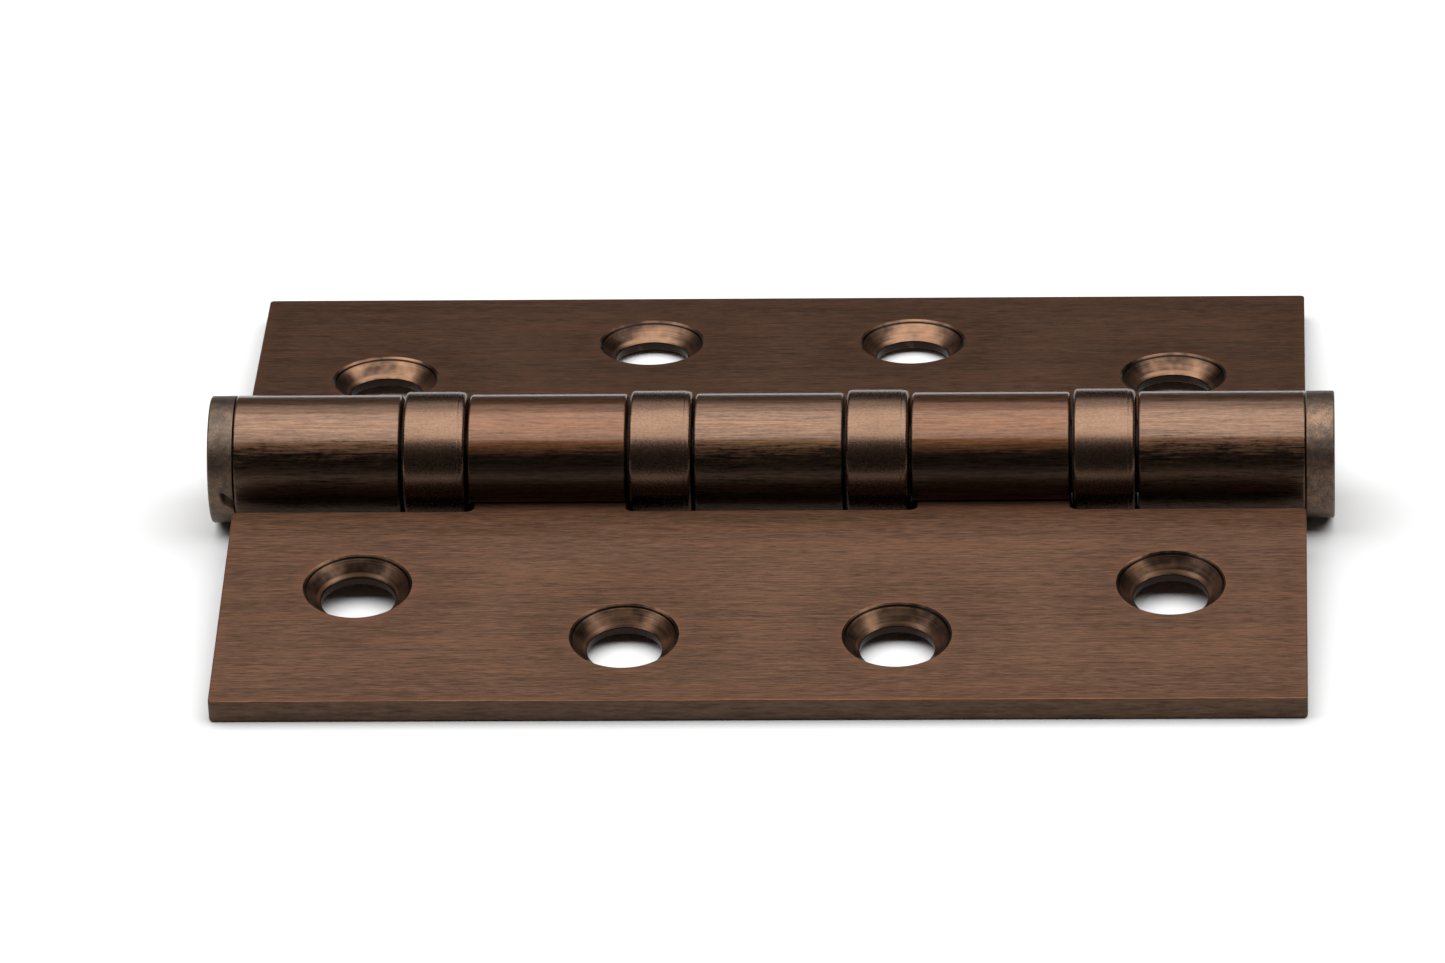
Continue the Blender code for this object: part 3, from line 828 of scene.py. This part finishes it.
# The races' grey is kept dark as painted shade for the gaps between the knuckles.
RACE_DARK, RACE_LIGHT = (0.07, 0.065, 0.06), (0.12, 0.115, 0.11)
BALL_DARK, BALL_LIGHT = (0.62, 0.62, 0.64), (0.72, 0.72, 0.74)
BRASS_DARK, BRASS_LIGHT = (0.46, 0.31, 0.11), (0.66, 0.48, 0.21)


def sleeve_face(place):
    """Satin drawn cup: faint lines along it, even bronze, darkened to near black low down with painted shade."""
    fine = brush_lines(place, 0.16, 3.0)
    cloud = place.stretched(260, 420, 420).noise(3.0)
    speck = place.stretched(3800, 5200, 5200).noise(3.0, 0.7)
    light = fine * 0.3 + cloud * 0.2 + speck * 0.5
    tall = (place.parts()[2] - PIN_HEIGHT) / SLEEVE_RADIUS
    # Painted shade: the cup darkens to near black towards its bottom.
    low_shade = tall.ramp(-0.1, 0.6, 0.3, 0.0)
    colour = (light.ramp(0.3, 0.7) - low_shade * 2.0).clamped()
    colour = colour.mixed(SLEEVE_DARK, SLEEVE_LIGHT)
    colour = low_shade.mixed(colour, SHADE_BLACK)
    return colour, 0.21 + speck * 0.12, fine * 0.4 + speck * 0.6, 0.006 * MM, 0.0


def hardened_steel(place):
    """Hardened steel: dark grey, darker than bare steel as painted shade for the gaps between the knuckles, with
    fine rings from grinding.
    """
    rings = place.stretched(400, 5200, 5200).noise(2.0)
    colour = rings.mixed(RACE_DARK, RACE_LIGHT)
    return colour, 0.40 + rings * 0.1, rings, 0.002 * MM, 0.0


def polished_steel(place):
    """Bearing balls: mirror bright, with the faintest haze."""
    haze = place.stretched(2500, 2500, 2500).noise(2.0)
    colour = haze.mixed(BALL_DARK, BALL_LIGHT)
    return colour, 0.05 + haze * 0.05, haze, 0.0005 * MM, 0.0


def pressed_brass(place):
    """The cage: pressed brass with a rolled grain and a few dull stains."""
    grain = place.stretched(900, 2600, 700).noise(3.0, 0.6)
    stain = place.stretched(500, 500, 500).noise(2.0)
    colour = (grain * 0.5 + stain * 0.5).mixed(BRASS_DARK, BRASS_LIGHT)
    return colour, 0.28 + grain * 0.16, grain, 0.005 * MM, 0.0


sleeve_paint = plated("satin_sleeve", sleeve_face)
race_paint = plated("hardened_race", hardened_steel)
ball_paint = plated("polished_ball", polished_steel)
brass = plated("pressed_brass", pressed_brass)


def race(node, face, back):
    """A race from its grooved face to its back. The groove is an arc that fits the balls.

    The arc's centre is half the race spacing before the face. Its half width at the face is the
    root of its radius squared less that distance squared, and the sides that are tangent to it
    there meet at the apex, its radius squared over that distance beyond the centre.
    """
    into = np.sign(back - face)
    offset = RACE_SPACING / 2
    half_width = np.sqrt(GROOVE_RADIUS**2 - offset**2)
    apex = face + into * (GROOVE_RADIUS**2 / offset - offset)
    points, normals, faces = turned(
        [
            (back, RACE_INNER_RADIUS, RACE_BACK_EDGE),
            (face, RACE_INNER_RADIUS, RACE_FACE_EDGE),
            (face, BALL_CIRCLE - half_width, RACE_FACE_EDGE),
            (apex, BALL_CIRCLE, 0.96 * GROOVE_RADIUS),
            (face, BALL_CIRCLE + half_width, RACE_FACE_EDGE),
            (face, RACE_OUTER_RADIUS, RACE_FACE_EDGE),
            (back, RACE_OUTER_RADIUS, RACE_BACK_EDGE),
        ],
        steps=96,
        arc_steps=8,
        longest=2 * MM,
    )
    fitted(node, "race_steel", points, faces, [race_paint], normals)


def ball(node):
    """A ball as a globe: longitude and latitude on a grid, closed at two poles."""
    low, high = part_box(node)
    centre = np.array((low + high) / 2)
    latitude = np.linspace(0, np.pi, BALL_RINGS + 2)[1:-1, None]
    longitude = np.linspace(0, 2 * np.pi, BALL_SECTORS, endpoint=False)[None]
    level = np.broadcast_to(np.cos(latitude), (BALL_RINGS, BALL_SECTORS))
    east, north = np.sin(latitude) * np.cos(longitude), np.sin(latitude) * np.sin(longitude)
    globe = np.stack([east, north, level], axis=-1).reshape(-1, 3)
    column = np.arange(BALL_SECTORS)
    after = (column + 1) % BALL_SECTORS
    last = len(globe) - BALL_SECTORS
    top, bottom = np.full(BALL_SECTORS, len(globe)), np.full(BALL_SECTORS, len(globe) + 1)
    faces = grid_faces(BALL_RINGS, BALL_SECTORS).tolist()
    faces += np.stack([top, column, after], axis=1).tolist()
    faces += np.stack([bottom, last + after, last + column], axis=1).tolist()
    normals = np.concatenate([globe, [[0, 0, 1], [0, 0, -1]]])
    points = centre + BALL_RADIUS * normals
    fitted(node, "ball_steel", points, faces, [ball_paint], normals)


for number in range(1, BEARINGS + 1):
    prefix = f"bearing_{number}_"
    rim, nose = (corner.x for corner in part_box(prefix + "sleeve"))
    shoulder, floor = nose - SLEEVE_SHOULDER, nose - SLEEVE_WALL
    points, normals, faces = turned(
        [
            (rim, SLEEVE_RADIUS, SLEEVE_RIM),
            (shoulder, SLEEVE_RADIUS, SLEEVE_STEP),
            (shoulder + SLEEVE_STEP, SLEEVE_RADIUS - SLEEVE_STEP / 2, SLEEVE_STEP),
            (nose, SLEEVE_RADIUS - SLEEVE_STEP / 2, SLEEVE_NOSE),
            (nose, RACE_INNER_RADIUS, SLEEVE_BORE_EDGE),
            (floor, RACE_INNER_RADIUS, SLEEVE_BORE_EDGE),
            (floor, SLEEVE_RADIUS - SLEEVE_WALL, SLEEVE_FLOOR),
            (rim, SLEEVE_RADIUS - SLEEVE_WALL, SLEEVE_INNER_RIM),
        ],
        steps=192,
        arc_steps=8,
        longest=0.8 * MM,
    )
    fitted(prefix + "sleeve", "sleeve_finish", points, faces, [sleeve_paint], normals)
    low, high = (corner.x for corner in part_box(prefix + "seated_race"))
    race(prefix + "seated_race", low, high)
    low, high = (corner.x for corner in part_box(prefix + "running_race"))
    race(prefix + "running_race", high, low)
    for index in range(1, BALLS + 1):
        ball(f"{prefix}ball_{index}")
    frame["nodes"][prefix + "cage"].material_slots[0].material = brass

# ---------------------------------------------------------------------------------------------
# The bench, light and camera. The hinge lies on white board in a dark room, under a wide soft
# light with a weaker strip behind it. The camera looks along a long lens from the front.

BOARD_LEFT, BOARD_RIGHT, BOARD_NEAR, BOARD_FAR = -2, 2, -2, 3

board = bpy.data.meshes.new("board")
board_corners = [
    (BOARD_LEFT, BOARD_NEAR, 0),
    (BOARD_RIGHT, BOARD_NEAR, 0),
    (BOARD_RIGHT, BOARD_FAR, 0),
    (BOARD_LEFT, BOARD_FAR, 0),
]
board.from_pydata(board_corners, [], [(0, 1, 2, 3)])
board_object = bpy.data.objects.new("board", board)
bpy.context.scene.collection.objects.link(board_object)
board_paint = bpy.data.materials.new("white_board")
board_paint.use_nodes = True
board_shader = board_paint.node_tree.nodes["Principled BSDF"]
board_shader.inputs["Base Color"].default_value = (0.8, 0.8, 0.8, 1)
board_shader.inputs["Roughness"].default_value = 0.9
board.materials.append(board_paint)


def soft_light(name, place, size, power):
    """A white rectangular light of the given size and power, which faces down from its place."""
    lamp = bpy.data.lights.new(name, "AREA")
    lamp.shape = "RECTANGLE"
    lamp.size, lamp.size_y = size
    lamp.energy = power
    made = bpy.data.objects.new(name, lamp)
    made.location = place
    bpy.context.scene.collection.objects.link(made)


soft_light("overhead", place=(0, 0.02, 0.9), size=(2.2, 1.0), power=20.7)
soft_light("overhead_fringe", place=(0, 0.857, 0.9), size=(2.2, 0.674), power=5.1)

world = bpy.data.worlds.new("dim_room")
world.use_nodes = True
world.node_tree.nodes["Background"].inputs["Color"].default_value = (0.03, 0.03, 0.03, 1)
bpy.context.scene.world = world
bpy.context.scene.view_settings.view_transform = "Standard"

lens = bpy.data.cameras.new("camera")
lens.lens = 271.58
lens.sensor_width = 36
lens.clip_start = 0.05
camera = bpy.data.objects.new("camera", lens)
camera.location = (0.04793, -0.89505, 0.52513)
YAW, PITCH, ROLL = np.radians((-3.362, 30.185, -1.952))
ahead = Vector((np.sin(YAW) * np.cos(PITCH), np.cos(YAW) * np.cos(PITCH), -np.sin(PITCH)))
right = Vector((np.cos(YAW), -np.sin(YAW), 0))
up = right.cross(ahead)
side_axis = np.cos(ROLL) * np.array(right) + np.sin(ROLL) * np.array(up)
up_axis = np.cos(ROLL) * np.array(up) - np.sin(ROLL) * np.array(right)
turn = np.column_stack([side_axis, up_axis, -np.array(ahead)])
camera.rotation_euler = Matrix(turn.tolist()).to_euler()
bpy.context.scene.collection.objects.link(camera)
bpy.context.scene.camera = camera
